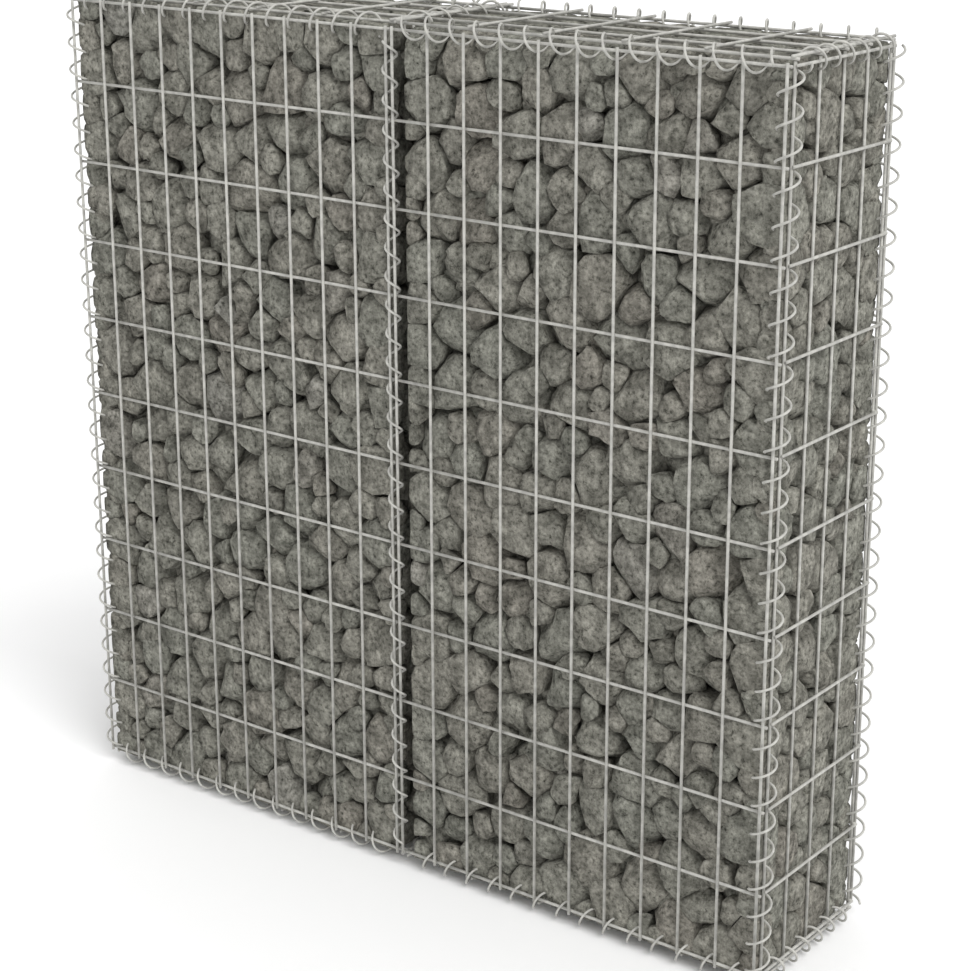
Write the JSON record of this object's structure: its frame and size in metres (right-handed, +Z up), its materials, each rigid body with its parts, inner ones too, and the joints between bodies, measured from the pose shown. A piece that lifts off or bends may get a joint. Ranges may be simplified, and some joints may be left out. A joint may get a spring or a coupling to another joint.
{
  "type": "gabion wall",
  "caption": "Free-standing gabion wall of welded steel mesh baskets laced with spiral coils and filled with grey stones.",
  "frame": {"origin": "under the middle of the wall, level with the lowest coils it stands on", "axes": "+X along the wall, +Y through it to the back, +Z up"},
  "size_m": [1.0448, 0.2524, 1.0412],
  "materials": {
    "galvanised_wire": "satin",
    "grey_stone": "matte"
  },
  "bodies": {
    "root": {"back_panel_left": "galvanised_wire", "back_panel_right": "galvanised_wire", "base_panel_left": "galvanised_wire", "base_panel_right": "galvanised_wire", "bottom_coil_back_left": "galvanised_wire", "bottom_coil_back_right": "galvanised_wire", "bottom_coil_end_left": "galvanised_wire", "bottom_coil_end_right": "galvanised_wire", "bottom_coil_front_left": "galvanised_wire", "bottom_coil_front_right": "galvanised_wire", "bottom_coil_middle": "galvanised_wire", "corner_coil_back_left": "galvanised_wire", "corner_coil_back_right": "galvanised_wire", "corner_coil_front_left": "galvanised_wire", "corner_coil_front_right": "galvanised_wire", "end_panel_left": "galvanised_wire", "end_panel_right": "galvanised_wire", "front_panel_left": "galvanised_wire", "front_panel_right": "galvanised_wire", "lid_panel_left": "galvanised_wire", "lid_panel_right": "galvanised_wire", "middle_coil_back": "galvanised_wire", "middle_coil_front": "galvanised_wire", "stone_fill_left": "grey_stone", "stone_fill_right": "grey_stone", "top_coil_back_left": "galvanised_wire", "top_coil_back_right": "galvanised_wire", "top_coil_end_left": "galvanised_wire", "top_coil_end_right": "galvanised_wire", "top_coil_front_left": "galvanised_wire", "top_coil_front_right": "galvanised_wire", "top_coil_middle": "galvanised_wire"}
  },
  "joints": []
}
